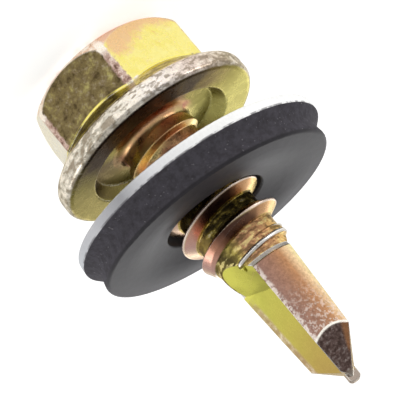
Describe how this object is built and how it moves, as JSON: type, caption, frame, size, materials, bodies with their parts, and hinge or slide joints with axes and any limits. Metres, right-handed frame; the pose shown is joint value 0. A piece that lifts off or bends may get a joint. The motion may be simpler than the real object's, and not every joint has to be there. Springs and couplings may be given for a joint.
{
  "type": "self drilling screw",
  "caption": "Self drilling screw with hexagon head, round flange, coarse thread, fluted drill point and a loose bonded washer of metal and black rubber.",
  "frame": {"origin": "centre of the head's flat end, on the screw's axis", "axes": "+Z along the screw's axis from the head to the drill point, +X square to one flat of the hexagon"},
  "size_m": [0.0165, 0.0165, 0.0247],
  "materials": {
    "yellow_zinc_steel": "zinc plated and yellow passivated",
    "galvanised_steel": "galvanised, dull bright",
    "epdm_rubber": "moulded, satin and dusty"
  },
  "bodies": {
    "screw_body": {"screw": "yellow_zinc_steel"},
    "sealing_washer": {"metal_washer": "galvanised_steel", "rubber_seal": "epdm_rubber"}
  },
  "joints": [
    {"name": "washer_slide", "type": "slide", "parent": "screw_body", "child": "sealing_washer", "axis": [0, 0, 1], "range_m": [-0.00265, 0.0035]}
  ]
}
